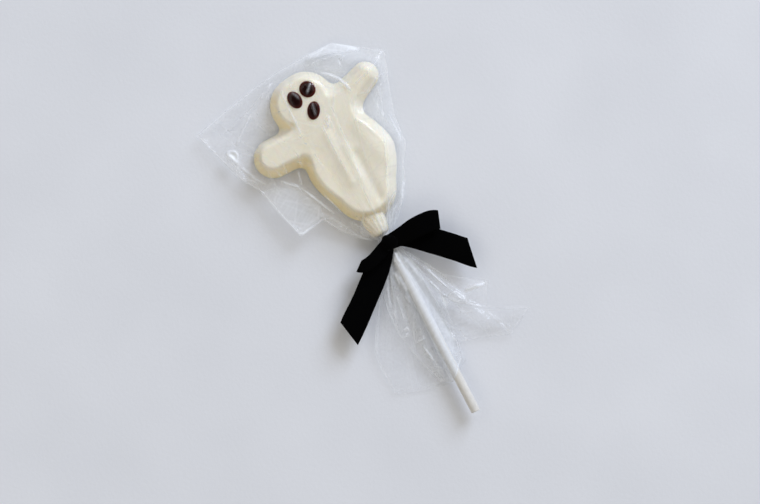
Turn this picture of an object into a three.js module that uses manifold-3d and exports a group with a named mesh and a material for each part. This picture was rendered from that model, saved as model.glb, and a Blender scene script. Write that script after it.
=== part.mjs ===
// Ghost lollipop: a moulded white chocolate ghost with dark chocolate eyes and mouth on a paper
// stick, in a clear gift bag that a velvet ribbon closes at the neck. It lies face up.
// Millimetres. X runs across the ghost, Y along the stick towards the head, and Z up from the
// surface that the bag lies on. The stick's axis is above X = 0.

import * as THREE from "three";
import { mergeVertices } from "three/addons/utils/BufferGeometryUtils.js";
import Module from "manifold-3d";

const wasm = await Module();
wasm.setup();

// Clearances and the mesh's fineness
const GAP = 0.35; // between pieces that touch on the real object
const EYE_GAP = 0.1; // under the eyes and the mouth
const LOOSE = 0.9; // between the chocolate and the film round it
const GHOST_CELL = 2.2;
const SNAP = 0.62; // share of a cell within which a grid point is slid onto the outline
const SLIVER = 0.06; // share of a cell under which a triangle at the outline is left out
const BAG_CELL = 3.4;
const SIDES = 20; // of round bars and ovals

// Chocolate ghost: a 3 in mould, 77 mm tall with the collar left out
const BACK = 0.9; // height of the ghost's flat back, on the film
const FACE = 10.6; // thickness of the chocolate at the face
const FOOT = 0.8; // upright land at the foot of the walls
const WALL_SLOPE = 3.0; // rise over run of the drafted walls
const EDGE_ROUND = 3.0; // how far the walls blend into the face
const LIMB_BLEND = 5.0; // how far the limbs blend into each other

// Each limb is a bar with round ends: [x, y, radius] at either end
const HEAD = [[-6.8, 24.8, 12.4], [-3.4, 25.2, 12.4]];
const CHEST = [[0.4, 8, 15.6], [2.2, -7, 18.4]];
const HEM = [[2.2, -7, 18.4], [1.5, -20.3, 13.4]];
const LEFT_ARM = [[-10.8, 9.6, 8.4], [-27.0, 9.6, 8.4]];
const RIGHT_ARM = [[8.0, 16.5, 7.4], [24.0, 23.2, 5.9]];
const LIMBS = [HEAD, CHEST, HEM, LEFT_ARM, RIGHT_ARM];

// Drapery: folds that run down the front, each along a line, with its height and half width
const FOLDS = [
  { from: [-1.8, 7.5], to: [-1.6, -15], height: 0.7, width: 2.2 },
  { from: [2.4, 0], to: [2.2, -15], height: 0.6, width: 1.8 },
  { from: [5.2, -6], to: [5.4, -26], height: -0.9, width: 2.2 },
  { from: [11.2, 6], to: [14.5, -11], height: 0.7, width: 3.6 },
  { from: [-8.6, 3], to: [-7.2, -18], height: -0.3, width: 2.6 },
];

// Collar of chocolate round the stick: [radius, y] along the stick
const COLLAR_END_Y = -40.6;
const COLLAR = [
  [0, -28], [4.6, -28], [4.8, -33], [4.5, -36.5], [3.9, -39.2], [3.1, COLLAR_END_Y], [0, COLLAR_END_Y],
];
const COLLAR_WIDEN = 1.04; // the collar is a little oval, and off the stick's axis
const COLLAR_SHIFT = -1.0;

// Paper stick, 5/32 in x 4 1/2 in
const STICK_RADIUS = 2.0;
const STICK_LENGTH = 114.0;
const STICK_TOP_Y = -11.7;
const STICK_TOP_Z = 3.9;
const STICK_RISE = 1.7; // how much higher the free end lies

// Domed ovals of dark chocolate: centre, half width, half height, lean in degrees
const DOME = 1.5;
const DOME_STEPS = 6;
const OVALS = {
  eye_left: { at: [-7.4, 26.7], half: [2.85, 3.95], lean: 9 },
  eye_right: { at: [-0.6, 28.3], half: [3.35, 3.6], lean: 20 },
  mouth: { at: [-2.4, 19.1], half: [2.7, 3.95], lean: -32 },
};

// Gift bag: 4 in wide film, tied 88 mm below its top, with a 64 mm skirt below the tie
const TIE_Y = -45.0;
const FILM_EDGE = 1.4; // thickness of the solid at the bag's edge
const HEADROOM = 3.1; // height of the film over the chocolate, as the eyes lift it
const TENT_REACH = 3.0;
const POUCH = [
  [-51.5, 33.0], [-37, 36.8], [-22, 39.7], [-10, 41.5], [5, 42.2], [17.5, 42.0], [23.5, 37.5], [36.2, 28.6],
  [31.5, 15], [27.4, 2], [26.2, -11], [21.6, -17], [19.0, -24], [15.2, -30], [9.0, -36.5], [5.4, -40.2],
  [3.3, -41.8], [3.1, -48], [-3.1, -48], [-3.3, -41.8], [-7.2, -40.2], [-11, -36.5], [-16, -31], [-20, -23.5],
  [-31.6, -25.6], [-35.6, -12], [-38.4, 0], [-43.5, 8],
];
const SKIRT = [
  [-3.1, -42], [3.1, -42], [3.8, -50], [15, -68], [30.4, -79], [26, -87], [41, -97.5], [28.6, -103.8],
  [15, -98.6], [6.5, -104.5], [-2.8, -110.6], [-14, -109], [-27, -104], [-27.6, -92], [-22, -76], [-9, -58],
  [-3.8, -50],
];
const SKIRT_HEIGHT = 5.2;
const NECK_HEIGHT = 7.25;
const COLLAR_HEADROOM = 3.6; // how much higher the film lies over the collar
const PLEAT = 1.0; // height of the skirt's pleats
const PLEATS = 26; // pleats in a full turn round the tie

// Velvet ribbon, 3/8 in wide. A strip is a list of [x, y, z, angle of its width in degrees, share of
// the full width].
const RIBBON_WIDTH = 10.4;
const RIBBON_THICK = 1.0;
const KNOT = { at: [0.4, TIE_Y, 9.0], half: [3.7, 3.4, 2.8] };
const BAND = { inner: [3.8, 3.3], outer: [4.8, 4.3], height: 4.5, width: 4.4, y: -45.8 };
const BOW = {
  loopRight: [
    [0, -45, 8.6, 92, 0.6], [7, -45, 9.8, 94, 0.74], [13, -44.5, 11.2, 92, 0.82],
    [20, -44.8, 11.0, 84, 0.82], [23.2, -46, 9.4, 70, 0.76], [20, -45.2, 7.8, 84, 0.8],
    [13, -44.9, 7.4, 92, 0.78], [7, -45, 7.6, 94, 0.7], [0, -45, 8.0, 92, 0.6],
  ],
  loopLeft: [
    [0, -45, 8.6, 88, 0.6], [-6, -47.2, 9.8, 78, 0.6], [-11.6, -48.9, 10.4, 64, 0.6],
    [-15.4, -48.3, 9.2, 38, 0.5], [-11.6, -49.2, 8.0, 64, 0.6], [-6, -47.6, 7.6, 78, 0.6],
    [0, -45, 7.8, 88, 0.6],
  ],
  tailRight: [
    [1, -44.8, 8.8, 66, 0.6], [6.4, -44.8, 6.4, 48, 0.88], [11.2, -47.6, 6.0, 45, 1],
    [17.2, -53, 6.4, 45, 1.05], [22.4, -58, 7.1, 46, 1.05], [26.6, -62.3, 7.5, 52, 1.06],
    [29.5, -65.4, 7.6, 81, 1.24],
  ],
  tailLeft: [
    [-1, -46, 8.8, 120, 0.6], [-6.4, -50.2, 6.6, 128, 0.92], [-13, -56, 6.8, 128, 1],
    [-22, -63.4, 7.6, 128, 1], [-32.6, -71.6, 7.8, 100, 1.16],
  ],
};
const STRIP_STEPS = 22;

/** Distance outside a bar with round ends, negative inside. */
function roundBar(x, y, [[ax, ay, ar], [bx, by, br]]) {
  const length = Math.hypot(bx - ax, by - ay);
  const along = THREE.MathUtils.clamp(((x - ax) * (bx - ax) + (y - ay) * (by - ay)) / length ** 2, 0, 1);
  const dx = x - ax - along * (bx - ax);
  const dy = y - ay - along * (by - ay);
  return Math.hypot(dx, dy) - (ar + (br - ar) * along);
}

/** Distance outside a polygon, negative inside. */
function polygon(x, y, corners) {
  let nearest = Infinity;
  let inside = false;
  corners.forEach(([ax, ay], i) => {
    const [bx, by] = corners[(i + 1) % corners.length];
    nearest = Math.min(nearest, roundBar(x, y, [[ax, ay, 0], [bx, by, 0]]));
    if (ay > y !== by > y && x < ax + ((y - ay) / (by - ay)) * (bx - ax)) {
      inside = !inside;
    }
  });
  return inside ? -nearest : nearest;
}

/** The lower of two values, blended where they are less than reach apart. */
function blend(a, b, reach) {
  const near = Math.max(reach - Math.abs(a - b), 0) / reach;
  return Math.min(a, b) - (near * near * reach) / 4;
}

/** A solid from triangles given as an array of positions and an array of indices. */
function solidOf(positions, indices) {
  const mesh = new wasm.Mesh({
    numProp: 3,
    vertProperties: Float32Array.from(positions),
    triVerts: Uint32Array.from(indices),
  });
  return new wasm.Manifold(mesh);
}

/** A solid from a three.js geometry, with its shared vertices merged. */
function solidFrom(geometry) {
  geometry.deleteAttribute("normal");
  geometry.deleteAttribute("uv");
  const merged = mergeVertices(geometry, 1e-3);
  return solidOf(merged.attributes.position.array, merged.index.array);
}

/** A three.js geometry from a solid. */
function geometryOf(solid) {
  const { vertProperties, triVerts } = solid.getMesh();
  const geometry = new THREE.BufferGeometry();
  geometry.setAttribute("position", new THREE.BufferAttribute(vertProperties, 3));
  geometry.setIndex(new THREE.BufferAttribute(triVerts, 1));
  return geometry.toNonIndexed();
}

/** Slides a point onto the outline where distance is zero. */
function ontoOutline([x, y], distance) {
  const step = 1e-3;
  for (let pass = 0; pass < 5; pass++) {
    const d = distance(x, y);
    const gx = (distance(x + step, y) - distance(x - step, y)) / (2 * step);
    const gy = (distance(x, y + step) - distance(x, y - step)) / (2 * step);
    const steep = Math.max(gx * gx + gy * gy, 0.2);
    x -= (d * gx) / steep;
    y -= (d * gy) / steep;
  }
  return [x, y];
}

/** The points of a square grid inside an outline, with those next to it slid onto it. */
function gridInside({ distance, cell, box }) {
  const [x0, y0, x1, y1] = box;
  const columns = Math.ceil((x1 - x0) / cell);
  const rows = Math.ceil((y1 - y0) / cell);
  const points = [];
  const ids = [];
  for (let row = 0; row <= rows; row++) {
    for (let column = 0; column <= columns; column++) {
      const at = [x0 + column * cell, y0 + row * cell];
      const d = distance(...at);
      const edge = d > -SNAP * cell;
      ids.push(d > SNAP * cell ? -1 : points.length);
      if (d <= SNAP * cell) {
        points.push({ at: edge ? ontoOutline(at, distance) : at, edge });
      }
    }
  }
  return { points, ids, columns, rows };
}

/** Whether a triangle of grid points has an area worth keeping, with its middle inside. */
function countsIn(corners, distance, cell) {
  const [[ax, ay], [bx, by], [cx, cy]] = corners;
  const area = ((bx - ax) * (cy - ay) - (cx - ax) * (by - ay)) / 2;
  return area > SLIVER * cell * cell && distance((ax + bx + cx) / 3, (ay + by + cy) / 3) < 0;
}

/** Triangles over the cells of a grid whose corners are kept. */
function gridTriangles({ points, ids, columns, rows }, { distance, cell }) {
  const triangles = [];
  for (let row = 0; row < rows; row++) {
    for (let column = 0; column < columns; column++) {
      const first = row * (columns + 1) + column;
      const corners = [first, first + 1, first + columns + 2, first + columns + 1].map((i) => ids[i]);
      const kept = corners.filter((i) => i >= 0);
      const inner = Math.max(corners.findIndex((i) => i >= 0 && !points[i].edge), 0);
      const [a, b, c, d] = [0, 1, 2, 3].map((turn) => corners[(inner + turn) % 4]);
      const cut = kept.length === 4 ? [[a, b, c], [a, c, d]] : [kept];
        triangles.push(...cut.filter((corner) => corner.length === 3));
    }
  }
  return triangles.filter((triangle) => countsIn(triangle.map((i) => points[i].at), distance, cell));
}

/** A solid that stands on z = base inside an outline, with its top at height(x, y). */
function pillow({ distance, height, base, cell, box }) {
  const grid = gridInside({ distance, cell, box });
  const top = gridTriangles(grid, { distance, cell });
  const count = grid.points.length;
  const positions = [
    ...grid.points.flatMap(({ at: [x, y] }) => [x, y, height(x, y)]),
    ...grid.points.flatMap(({ at: [x, y] }) => [x, y, base]),
  ];
  const indices = top.flatMap(([a, b, c]) => [a, b, c, c + count, b + count, a + count]);
  const edges = new Set(top.flatMap(([a, b, c]) => [`${a} ${b}`, `${b} ${c}`, `${c} ${a}`]));
  for (const edge of edges) {
    const [a, b] = edge.split(" ").map(Number);
    if (!edges.has(`${b} ${a}`)) {
      indices.push(b, a, a + count, b, a + count, b + count);
    }
  }
  return solidOf(positions, indices);
}

function ghostOutline(x, y) {
  return LIMBS.map((limb) => roundBar(x, y, limb)).reduce((a, b) => blend(a, b, LIMB_BLEND));
}

/** Height that one fold adds: a ridge or a groove that fades out past its ends. */
function foldHeight(x, y, { from, to, height, width }) {
  const away = roundBar(x, y, [[...from, 0], [...to, 0]]) / width;
  return height * Math.exp(-away * away);
}

function ghostHeight(x, y, grow, over) {
  const face = FOLDS.reduce((sum, fold) => sum + foldHeight(x, y, fold), FACE + over);
  const wall = FOOT + WALL_SLOPE * (grow - ghostOutline(x, y));
  return BACK + Math.max(blend(wall, face, EDGE_ROUND), FOOT);
}

/** Turns a geometry made along Y at the origin onto the stick's axis. */
function ontoStick(geometry) {
  geometry.rotateX(-Math.atan2(STICK_RISE, STICK_LENGTH));
  return geometry.translate(0, STICK_TOP_Y, STICK_TOP_Z);
}

/** A bar round the stick's axis: its profile is [radius, y] with y in the part's frame. */
function roundTheStick(profile) {
  const points = profile.map(([radius, y]) => new THREE.Vector2(radius, y - STICK_TOP_Y)).reverse();
  return new THREE.LatheGeometry(points, SIDES);
}

function stickGeometry(grow) {
  const top = STICK_TOP_Y + grow;
  const end = STICK_TOP_Y - STICK_LENGTH - grow;
  const radius = STICK_RADIUS + grow;
  return ontoStick(roundTheStick([[0, top], [radius, top], [radius, end], [0, end]]));
}

/** The ghost without its eyes, mouth and stick hole, wider all round by grow and higher by over. */
function chocolate(grow, over) {
  const body = pillow({
    distance: (x, y) => ghostOutline(x, y) - grow,
    height: (x, y) => ghostHeight(x, y, grow, over),
    base: BACK - Math.min(grow, GAP),
    cell: GHOST_CELL,
    box: [-38, -37, 34, 41],
  });
  return body.add(collar(grow));
}

/** The collar of chocolate round the stick, cut flat on the level of the ghost's back. */
function collar(grow) {
  const profile = COLLAR.map(([radius, y]) => [
    radius && radius + grow,
    y === COLLAR_END_Y ? y - Math.min(grow, GAP) : y,
  ]);
  const turned = roundTheStick(profile);
  turned.scale(COLLAR_WIDEN, 1, 1).translate(COLLAR_SHIFT, 0, 0);
  return solidFrom(ontoStick(turned)).trimByPlane([0, 0, 1], BACK - grow);
}

/** A domed oval on the face. */
function oval({ at, half, lean }) {
  const profile = [new THREE.Vector2(0, 0)];
  for (let step = 0; step <= DOME_STEPS; step++) {
    const angle = (step / DOME_STEPS) * (Math.PI / 2);
    profile.push(new THREE.Vector2(Math.cos(angle), Math.sin(angle)));
  }
  const dome = new THREE.LatheGeometry(profile, SIDES).rotateX(Math.PI / 2);
  dome.scale(half[0], half[1], DOME).rotateZ(THREE.MathUtils.degToRad(lean));
  return solidFrom(dome.translate(...at, BACK + FACE + EYE_GAP));
}

/** A strip of ribbon along a path, thicker and wider all round by grow. */
function strip(path, grow) {
  const centre = new THREE.CatmullRomCurve3(path.map(([x, y, z]) => new THREE.Vector3(x, y, z)));
  const turns = path.map(([, , , degrees, share]) => new THREE.Vector3(degrees, share, 0));
  const turn = new THREE.CatmullRomCurve3(turns);
  const positions = [];
  const indices = [];
  for (let step = 0; step <= STRIP_STEPS; step++) {
    const along = step / STRIP_STEPS;
    const at = centre.getPoint(along);
    const { x: degrees, y: share } = turn.getPoint(along);
    const angle = THREE.MathUtils.degToRad(degrees);
    const across = new THREE.Vector3(Math.cos(angle), Math.sin(angle), 0);
    const up = across.clone().cross(centre.getTangent(along)).normalize();
    const halfWidth = (RIBBON_WIDTH * share) / 2 + grow;
    const halfThick = RIBBON_THICK / 2 + grow;
    for (const [side, face] of [[1, 1], [-1, 1], [-1, -1], [1, -1]]) {
      const corner = at.clone().addScaledVector(across, side * halfWidth);
      corner.addScaledVector(up, face * halfThick);
      positions.push(...corner.toArray());
    }
  }
  for (let step = 0; step < STRIP_STEPS; step++) {
    for (let side = 0; side < 4; side++) {
      const [a, b] = [step * 4 + side, step * 4 + ((side + 1) % 4)];
      indices.push(b, a, a + 4, b, a + 4, b + 4);
    }
  }
  const last = STRIP_STEPS * 4;
  indices.push(0, 1, 2, 0, 2, 3, last, last + 2, last + 1, last, last + 3, last + 2);
  return solidOf(positions, indices);
}

/** An oval bar round the neck of the bag, with its half width, half height and length. */
function neckBar([halfWidth, halfHeight], length) {
  const outline = new THREE.Shape().absellipse(0, 0, halfWidth, halfHeight, 0, 2 * Math.PI);
  const settings = { depth: length, bevelEnabled: false, curveSegments: SIDES };
  const bar = new THREE.ExtrudeGeometry(outline, settings);
  return solidFrom(bar.rotateX(Math.PI / 2).translate(0, BAND.y + length / 2, BAND.height));
}

function knot(grow) {
  const lump = new THREE.SphereGeometry(1, 16, 10);
  lump.scale(KNOT.half[0] + grow, KNOT.half[1] + grow, KNOT.half[2] + grow);
  return solidFrom(lump.translate(...KNOT.at));
}

/** The whole bow, hollow where it goes round the neck of the bag. */
function bow(grow) {
  const band = neckBar(BAND.outer.map((half) => half + grow), BAND.width + 2 * grow);
  const neck = neckBar(BAND.inner.map((half) => half - grow), 3 * BAND.width);
  return Object.values(BOW)
    .map((path) => strip(path, grow))
    .reduce((all, piece) => all.add(piece), band.add(knot(grow)))
    .subtract(neck);
}

/** Height of taut film between the bag's edge and the contents. */
function tent(x, y, inside) {
  const away = Math.max(ghostOutline(x, y) + TENT_REACH, 0);
  const share = inside / (inside + away + 1e-6);
  const eased = share * share * (3 - 2 * share);
  return FILM_EDGE + (BACK + FACE + HEADROOM - FILM_EDGE) * eased;
}

function bagOutline(x, y) {
  return blend(polygon(x, y, POUCH), polygon(x, y, SKIRT), 2);
}

/** Height of the gathered film at the neck and of the pleated film that fans out below it. */
function gatheredHeight(x, y, inside) {
  const turn = Math.atan2(x, TIE_Y + 4 - y);
  const pleat = PLEAT * Math.sin(turn * PLEATS);
  const fan = THREE.MathUtils.smoothstep(TIE_Y - y, 4, 40);
  const overCollar = COLLAR_HEADROOM * THREE.MathUtils.smoothstep(y - TIE_Y, 2.6, 5.5);
  const over = THREE.MathUtils.lerp(NECK_HEIGHT, SKIRT_HEIGHT + pleat, fan) + overCollar;
  return FILM_EDGE + (over - FILM_EDGE) * THREE.MathUtils.smoothstep(inside, 0, 4);
}

function bagHeight(x, y) {
  const inside = Math.max(-bagOutline(x, y), 0);
  const belowGhost = 1 - THREE.MathUtils.smoothstep(y - TIE_Y, 10, 20);
  const pouch = tent(x, y, inside) * THREE.MathUtils.smoothstep(y - TIE_Y, 0, 4);
  return Math.max(pouch, gatheredHeight(x, y, inside) * belowGhost, FILM_EDGE);
}

function bag(contents) {
  const box = [-55, -115, 45, 47];
  const whole = pillow({ distance: bagOutline, height: bagHeight, base: 0, cell: BAG_CELL, box });
  return whole.subtract(contents.reduce((all, piece) => all.add(piece)));
}

function namedMesh(name, solid, material) {
  const mesh = new THREE.Mesh(geometryOf(solid), material);
  mesh.name = name;
  return mesh;
}

const whiteChocolate = new THREE.MeshStandardMaterial({ color: "#dcd6bd", roughness: 0.42, metalness: 0 });
const darkChocolate = new THREE.MeshStandardMaterial({ color: "#1d0a08", roughness: 0.18, metalness: 0 });
const paper = new THREE.MeshStandardMaterial({ color: "#e4e2dc", roughness: 0.85, metalness: 0 });
const velvet = new THREE.MeshStandardMaterial({ color: "#050506", roughness: 0.95, metalness: 0 });
const film = new THREE.MeshStandardMaterial({
  color: "#eef2f6", roughness: 0.08, metalness: 0, transparent: true, opacity: 0.3,
});

const lollipop = new THREE.Group();
const stickHole = solidFrom(stickGeometry(GAP));
lollipop.add(namedMesh("ghost_body", chocolate(0, 0).subtract(stickHole), whiteChocolate));
for (const [name, size] of Object.entries(OVALS)) {
  lollipop.add(namedMesh(name, oval(size), darkChocolate));
}
lollipop.add(namedMesh("stick", solidFrom(stickGeometry(0)), paper));
lollipop.add(namedMesh("ribbon_bow", bow(0), velvet));
const contents = [chocolate(LOOSE, EYE_GAP + DOME + GAP), stickHole, bow(GAP)];
lollipop.add(namedMesh("bag", bag(contents), film));

export default lollipop;
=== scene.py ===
# %% [markdown]
# Ghost lollipop in a clear bag
#
# The real thing is white chocolate cast in a mould, with eyes and a mouth of dark chocolate, a
# rolled paper stick, a clear film bag over the ghost, and a velvet ribbon that ties the bag's
# neck in a bow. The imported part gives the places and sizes, and this script makes the looks.
# It works in millimetres and turns each finished piece into metres as its last step.

import math
from functools import reduce

import bmesh
import bpy
import numpy as np
from mathutils import Matrix, Vector


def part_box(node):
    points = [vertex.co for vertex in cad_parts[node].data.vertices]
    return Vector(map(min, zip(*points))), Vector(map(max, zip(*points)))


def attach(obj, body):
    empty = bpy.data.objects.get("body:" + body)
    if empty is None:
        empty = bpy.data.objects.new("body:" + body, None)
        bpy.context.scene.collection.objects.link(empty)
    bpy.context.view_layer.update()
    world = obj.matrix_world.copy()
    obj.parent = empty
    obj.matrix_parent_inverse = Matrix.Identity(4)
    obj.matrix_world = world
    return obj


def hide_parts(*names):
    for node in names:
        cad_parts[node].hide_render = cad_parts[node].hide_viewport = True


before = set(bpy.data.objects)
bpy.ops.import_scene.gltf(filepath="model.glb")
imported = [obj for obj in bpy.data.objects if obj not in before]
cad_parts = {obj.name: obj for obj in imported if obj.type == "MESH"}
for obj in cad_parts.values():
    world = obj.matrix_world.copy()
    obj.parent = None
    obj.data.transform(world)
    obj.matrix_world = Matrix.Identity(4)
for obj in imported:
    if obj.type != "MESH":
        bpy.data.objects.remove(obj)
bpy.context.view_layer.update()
scene = bpy.context.scene

# %% [markdown]
# Camera
#
# The photograph looks straight down. The stick runs from the top left to the bottom right, so
# the camera is rolled, and a long lens from well above keeps the view nearly free of
# perspective.

# %% Camera
MM = 0.001
PHOTO_WIDTH_MM = 323.4  # what the width of the picture covers at the lollipop
CAMERA_HEIGHT_MM = 800.0
SENSOR_MM = 36.0
VIEW_CENTRE_MM = (-5.0, -46.8)
ROLL_DEGREES = -27.4
SCALE_HEIGHT_MM = 5  # height above the table at which the width is measured

camera_data = bpy.data.cameras.new("camera")
camera_data.sensor_width = SENSOR_MM
camera_data.lens = SENSOR_MM * CAMERA_HEIGHT_MM / PHOTO_WIDTH_MM
camera = bpy.data.objects.new("camera", camera_data)
camera.location = (VIEW_CENTRE_MM[0] * MM, VIEW_CENTRE_MM[1] * MM, (CAMERA_HEIGHT_MM + SCALE_HEIGHT_MM) * MM)
camera.rotation_euler = (0, 0, math.radians(ROLL_DEGREES))
scene.collection.objects.link(camera)
scene.camera = camera
print("lens:", round(camera_data.lens, 1), "mm")

# %% [markdown]
# Light
#
# Daylight comes from a large window at the upper right of the picture, so shadows are soft and
# fall to the lower left. The window's light is cool, the room's is warmer, and the ceiling is
# dark, so the dark chocolate mirrors little of it.

# %% Light
WINDOW_DIRECTION = (0.875, 0.493, 0.60)
LAMP_AIM = (0, -0.04, 0)
ROOM_TINT = (1.08, 1.03, 0.95)
scene.view_settings.view_transform = "Standard"
scene.view_settings.look = "None"


def linear(hex_colour):
    """Linear RGBA from a colour written as sRGB hex."""
    channels = [int(hex_colour[i:i + 2], 16) / 255 for i in (1, 3, 5)]
    return [c / 12.92 if c <= 0.04045 else ((c + 0.055) / 1.055) ** 2.4 for c in channels] + [1.0]


def area_light(name, direction, distance, size, power, colour):
    """A square lamp that looks at the lollipop from direction, with sizes in metres."""
    data = bpy.data.lights.new(name, "AREA")
    data.shape = "SQUARE"
    data.size = size
    data.energy = power
    data.color = linear(colour)[:3]
    lamp = bpy.data.objects.new(name, data)
    away = Vector(direction).normalized() * distance
    lamp.location = Vector(LAMP_AIM) + away
    lamp.rotation_euler = away.to_track_quat("Z", "Y").to_euler()
    scene.collection.objects.link(lamp)


area_light("window", WINDOW_DIRECTION, distance=4.0, size=2.0, power=122.0, colour="#e2ecff")


def room_light(name, steps):
    """Light from all round. Each step is the height of a direction and how bright the room is there."""
    world = bpy.data.worlds.new(name)
    world.use_nodes = True
    tree = world.node_tree
    direction = tree.nodes.new("ShaderNodeTexCoord").outputs["Generated"]
    split = tree.nodes.new("ShaderNodeSeparateXYZ")
    tree.links.new(direction, split.inputs[0])
    ramp = tree.nodes.new("ShaderNodeValToRGB")
    tree.links.new(split.outputs["Z"], ramp.inputs["Fac"])
    while len(ramp.color_ramp.elements) < len(steps):
        ramp.color_ramp.elements.new(0.5)
    for element, (height, grey) in zip(ramp.color_ramp.elements, steps):
        element.position = height
        element.color = (*(grey * channel for channel in ROOM_TINT), 1)
    tree.links.new(ramp.outputs["Color"], tree.nodes["Background"].inputs["Color"])
    scene.world = world


room_light("room", ((0.0, 0.28), (0.5, 0.52), (0.76, 0.95), (0.84, 0.90), (0.90, 0.02)))

# %% [markdown]
# Materials
#
# One small function adds a shader node, sets its sockets and links what is given as a link.
# Every material is built from it, and reads Object coordinates in metres, so that a pattern's
# scale is one over its real size.


# %% Helpers for materials
def node(tree, kind, settings=None, **sockets):
    """Adds a node. A socket's value is a number, a colour or another node's output."""
    made = tree.nodes.new(kind)
    for name, value in (settings or {}).items():
        setattr(made, name, value)
    for name, value in sockets.items():
        key = int(name[1:]) if name[0] == "i" and name[1:].isdigit() else name.replace("_", " ")
        socket = made.inputs[key]
        if isinstance(value, bpy.types.NodeSocket):
            tree.links.new(value, socket)
        else:
            socket.default_value = value
    return made


def empty_material(name):
    """A material without nodes but its output, and the place of a point in metres."""
    material = bpy.data.materials.new(name)
    material.use_nodes = True
    tree = material.node_tree
    tree.nodes.clear()
    output = tree.nodes.new("ShaderNodeOutputMaterial")
    place = tree.nodes.new("ShaderNodeTexCoord").outputs["Object"]
    return material, tree, output, place


def noise(tree, place, size_mm, detail=2.0, roughness=0.5):
    """Cloudy noise whose patches are about size_mm wide."""
    return node(
        tree, "ShaderNodeTexNoise",
        Vector=place, Scale=1 / (size_mm * MM), Detail=detail, Roughness=roughness,
    ).outputs["Fac"]


def colour_between(tree, factor, low, high, start=0.35, end=0.65):
    """A colour that goes from low to high as factor goes from start to end."""
    share = node(
        tree, "ShaderNodeMapRange", Value=factor, From_Min=start, From_Max=end
    ).outputs["Result"]
    mix = node(tree, "ShaderNodeMix", {"data_type": "RGBA"}, i0=share, i6=linear(low), i7=linear(high))
    return mix.outputs[2]


def bump(tree, height, depth_mm, strength=1.0, normal=None):
    """Relief that is depth_mm deep, on top of another bump's normal if one is given."""
    made = node(tree, "ShaderNodeBump", Height=height, Distance=depth_mm * MM, Strength=strength)
    if normal is not None:
        tree.links.new(normal, made.inputs["Normal"])
    return made.outputs["Normal"]


# %% [markdown]
# Table
#
# The lollipop lies on white paper, a large flat square that only has to catch the shadows.

# %% Paper that the lollipop lies on
def watercolour_paper():
    """Matt white paper with a faint tooth of about 1.5 mm."""
    material, tree, output, place = empty_material("watercolour_paper")
    tooth = noise(tree, place, 1.6, 3.0)
    cloud = noise(tree, place, 60.0, 2.0)
    surface = node(
        tree, "ShaderNodeBsdfPrincipled",
        Base_Color=colour_between(tree, cloud, "#dfe2e8", "#e4e7ed", 0.3, 0.7),
        Roughness=0.9, Normal=bump(tree, tooth, 0.12, 0.5),
    )
    surface.inputs["Specular IOR Level"].default_value = 0.2
    tree.links.new(surface.outputs[0], output.inputs["Surface"])
    return material


floor_bm = bmesh.new()
bmesh.ops.create_grid(floor_bm, x_segments=1, y_segments=1, size=1.6)
floor_mesh = bpy.data.meshes.new("floor")
floor_bm.to_mesh(floor_mesh)
floor_bm.free()
floor = bpy.data.objects.new("floor", floor_mesh)
scene.collection.objects.link(floor)
floor.data.materials.append(watercolour_paper())


# %% [markdown]
# White chocolate
#
# Light goes a little way into cocoa butter, and subsurface scattering softens it. The warm
# yellow of walls in shade is painted shade: an attribute of the mesh tells where a wall is in
# shade, and there the colour is painted a warmer yellow.

# %% White chocolate
def white_chocolate():
    """Cocoa butter and milk, cast and set in a smooth mould: ivory, waxy and a little see-through."""
    material, tree, output, place = empty_material("white_chocolate")
    cloud = noise(tree, place, 14.0, 3.0)
    grain = noise(tree, place, 0.5, 2.0)
    swell = noise(tree, place, 5.0, 2.0)
    fine = bump(tree, grain, 0.02, 0.5)
    shaded = node(tree, "ShaderNodeAttribute", {"attribute_name": "shaded_wall"}).outputs["Fac"]
    ivory = colour_between(tree, cloud, "#ede7d2", "#f3eede", 0.3, 0.7)
    # painted shade: where the shaded_wall attribute is high, a wall in shade is painted a warm yellow
    ivory_with_painted_shade = node(tree, "ShaderNodeMix", {"data_type": "RGBA"}, i0=shaded, i6=ivory, i7=linear("#fae6b2"))
    surface = node(
        tree, "ShaderNodeBsdfPrincipled",
        Base_Color=ivory_with_painted_shade.outputs[2],
        Roughness=0.46, IOR=1.46, Normal=bump(tree, swell, 0.12, 0.5, fine),
    )
    surface.inputs["Subsurface Weight"].default_value = 0.35
    surface.inputs["Subsurface Radius"].default_value = (1.0, 0.75, 0.42)
    surface.inputs["Subsurface Scale"].default_value = 2.6 * MM
    tree.links.new(surface.outputs[0], output.inputs["Surface"])
    return material


# %% [markdown]
# Dark chocolate
#
# The drops are nearly black, and redder where they thin out at the rim, which an attribute marks.

# %% Dark chocolate
def dark_chocolate():
    """Melted dark chocolate, set in a smooth dome with a redder, thinner rim."""
    material, tree, output, place = empty_material("dark_chocolate")
    rim = node(tree, "ShaderNodeAttribute", {"attribute_name": "rim"}).outputs["Fac"]
    surface = node(
        tree, "ShaderNodeBsdfPrincipled",
        Base_Color=colour_between(tree, rim, "#1c0706", "#5e1a10", 0.0, 1.0),
        Roughness=0.25, IOR=1.47, Normal=bump(tree, noise(tree, place, 1.6, 2.0), 0.08, 0.4),
    )
    surface.inputs["Specular IOR Level"].default_value = 0.08
    tree.links.new(surface.outputs[0], output.inputs["Surface"])
    return material


# %% [markdown]
# Paper of the stick
#
# A lollipop stick is paper rolled hard. Its fibres run along it, so the noise is stretched.

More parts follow.
